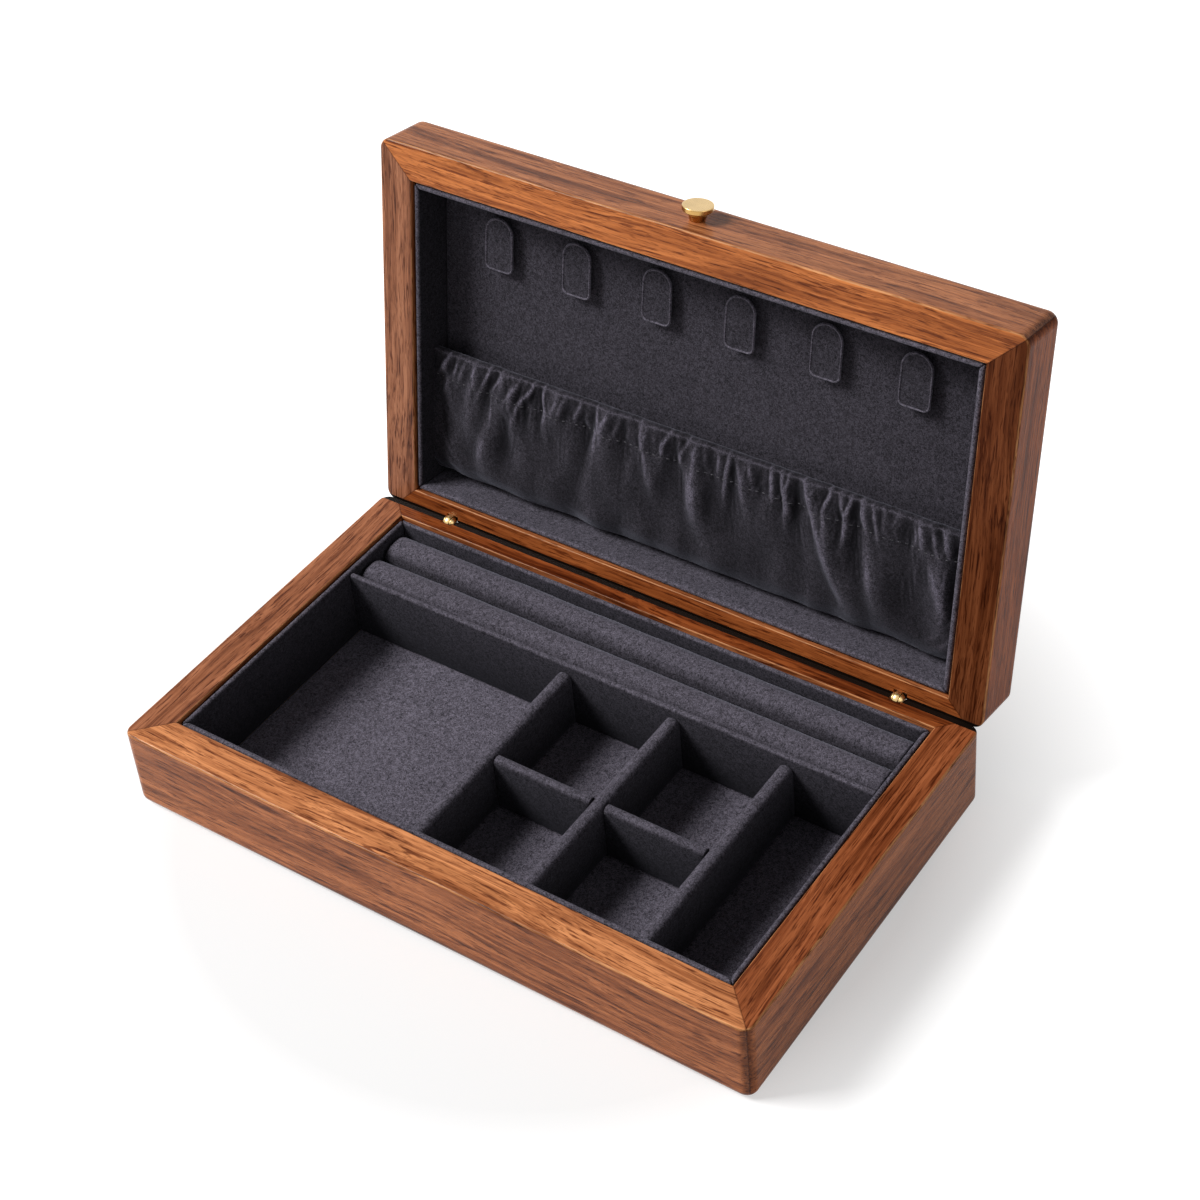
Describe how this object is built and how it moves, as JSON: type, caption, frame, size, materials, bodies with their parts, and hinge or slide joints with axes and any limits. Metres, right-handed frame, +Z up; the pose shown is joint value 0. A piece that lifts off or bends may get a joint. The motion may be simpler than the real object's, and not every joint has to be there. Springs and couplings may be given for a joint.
{
  "type": "cufflink display box",
  "caption": "Hinged walnut box with a suede tray of cells, padded ring rolls, a lid with chain tabs and a gathered pouch, and a brass knob.",
  "frame": {"origin": "centre of the underside, on the surface the box stands on", "axes": "+Z up, +X along the width to the right, +Y from the front of the box to the hinges; the lid is open at rest"},
  "size_m": [0.28, 0.2176, 0.2012],
  "materials": {
    "walnut": "satin oiled walnut, grain along each rail",
    "plywood": "plain birch ply",
    "suede": "charcoal microfibre suede",
    "baize": "black wool baize",
    "brass": "polished brass",
    "elastic": "woven elastic tape"
  },
  "bodies": {
    "base": {"base_back_rail": "walnut", "base_bottom_panel": "plywood", "base_floor_pad": "suede", "base_front_rail": "walnut", "base_left_rail": "walnut", "base_liner_back": "suede", "base_liner_front": "suede", "base_liner_left": "suede", "base_liner_right": "suede", "base_mitre_splines": "walnut", "base_right_rail": "walnut", "cross_divider_left": "suede", "cross_divider_right": "suede", "divider_left": "suede", "divider_middle": "suede", "divider_right": "suede", "hinge_lower_leaf_left": "brass", "hinge_lower_leaf_right": "brass", "hinge_pin_left": "brass", "hinge_pin_right": "brass", "long_divider": "suede", "ring_roll_front": "suede", "ring_roll_rear": "suede", "underside_baize": "baize"},
    "lid": {"chain_tab_1": "suede", "chain_tab_2": "suede", "chain_tab_3": "suede", "chain_tab_4": "suede", "chain_tab_5": "suede", "chain_tab_6": "suede", "chain_tab_spacers": "suede", "hinge_upper_leaf_left": "brass", "hinge_upper_leaf_right": "brass", "lid_back_rail": "walnut", "lid_backing_pad": "suede", "lid_front_rail": "walnut", "lid_knob": "brass", "lid_knob_stud": "brass", "lid_left_rail": "walnut", "lid_liner_back": "suede", "lid_liner_front": "suede", "lid_liner_left": "suede", "lid_liner_right": "suede", "lid_mitre_splines": "walnut", "lid_right_rail": "walnut", "lid_top_panel": "walnut", "pouch_cloth": "suede", "pouch_elastic": "elastic"}
  },
  "joints": [
    {"name": "lid_hinge", "type": "hinge", "parent": "base", "child": "lid", "pos_m": [0, 0.0811, 0.0357], "axis": [1, 0, 0], "range_deg": [0, 100]}
  ]
}
